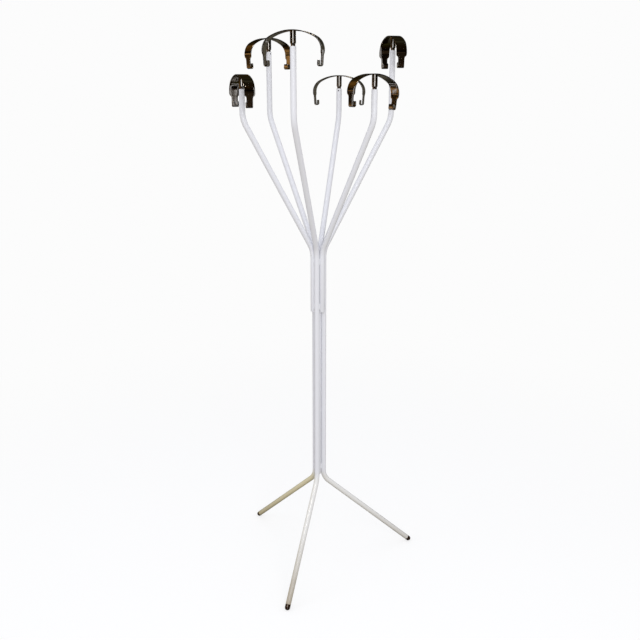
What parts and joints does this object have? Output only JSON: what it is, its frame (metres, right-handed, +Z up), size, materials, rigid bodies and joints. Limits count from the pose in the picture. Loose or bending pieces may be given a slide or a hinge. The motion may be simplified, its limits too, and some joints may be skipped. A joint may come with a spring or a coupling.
{
  "type": "coat tree",
  "caption": "Free-standing tubular steel coat tree: legs, welded column and two tiers of bent arms, each with a swivelling chrome band hook.",
  "frame": {"origin": "the column's axis at floor level", "axes": "+Z up, -Y along the front leg"},
  "size_m": [0.6202, 0.6115, 1.8],
  "materials": {
    "white_enamel": "gloss white stove enamel on steel tube",
    "dark_plastic": "glossy dark brown moulded cap",
    "chrome": "bright chrome plate",
    "black_steel": "blackened steel screw",
    "natural_nylon": "natural nylon"
  },
  "bodies": {
    "frame": {"long_tube_front": "white_enamel", "foot_cap_front": "dark_plastic", "socket_bush_front": "natural_nylon", "grub_screw_front": "black_steel", "short_tube_front_right": "white_enamel", "end_plug_front_right": "white_enamel", "socket_bush_front_right": "natural_nylon", "grub_screw_front_right": "black_steel", "long_tube_back_right": "white_enamel", "foot_cap_back_right": "dark_plastic", "socket_bush_back_right": "natural_nylon", "grub_screw_back_right": "black_steel", "short_tube_back": "white_enamel", "end_plug_back": "white_enamel", "socket_bush_back": "natural_nylon", "grub_screw_back": "black_steel", "long_tube_back_left": "white_enamel", "foot_cap_back_left": "dark_plastic", "socket_bush_back_left": "natural_nylon", "grub_screw_back_left": "black_steel", "short_tube_front_left": "white_enamel", "end_plug_front_left": "white_enamel", "socket_bush_front_left": "natural_nylon", "grub_screw_front_left": "black_steel", "core_tube": "white_enamel", "core_plug_top": "white_enamel", "core_plug_bottom": "white_enamel", "welds_top": "white_enamel", "welds_middle": "white_enamel", "welds_bottom": "white_enamel"},
    "hook_front": {"hook_post_front": "chrome", "hook_band_front": "chrome", "hook_screw_front": "chrome"},
    "hook_front_right": {"hook_post_front_right": "chrome", "hook_band_front_right": "chrome", "hook_screw_front_right": "chrome"},
    "hook_back_right": {"hook_post_back_right": "chrome", "hook_band_back_right": "chrome", "hook_screw_back_right": "chrome"},
    "hook_back": {"hook_post_back": "chrome", "hook_band_back": "chrome", "hook_screw_back": "chrome"},
    "hook_back_left": {"hook_post_back_left": "chrome", "hook_band_back_left": "chrome", "hook_screw_back_left": "chrome"},
    "hook_front_left": {"hook_post_front_left": "chrome", "hook_band_front_left": "chrome", "hook_screw_front_left": "chrome"}
  },
  "joints": [
    {"name": "hook_front_swivel", "type": "hinge", "parent": "frame", "child": "hook_front", "pos_m": [0, -0.238, 1.757], "axis": [0, 0, 1], "continuous": true},
    {"name": "hook_front_right_swivel", "type": "hinge", "parent": "frame", "child": "hook_front_right", "pos_m": [0.20611, -0.119, 1.642], "axis": [0, 0, 1], "continuous": true},
    {"name": "hook_back_right_swivel", "type": "hinge", "parent": "frame", "child": "hook_back_right", "pos_m": [0.20611, 0.119, 1.757], "axis": [0, 0, 1], "continuous": true},
    {"name": "hook_back_swivel", "type": "hinge", "parent": "frame", "child": "hook_back", "pos_m": [0, 0.238, 1.642], "axis": [0, 0, 1], "continuous": true},
    {"name": "hook_back_left_swivel", "type": "hinge", "parent": "frame", "child": "hook_back_left", "pos_m": [-0.20611, 0.119, 1.757], "axis": [0, 0, 1], "continuous": true},
    {"name": "hook_front_left_swivel", "type": "hinge", "parent": "frame", "child": "hook_front_left", "pos_m": [-0.20611, -0.119, 1.642], "axis": [0, 0, 1], "continuous": true}
  ]
}
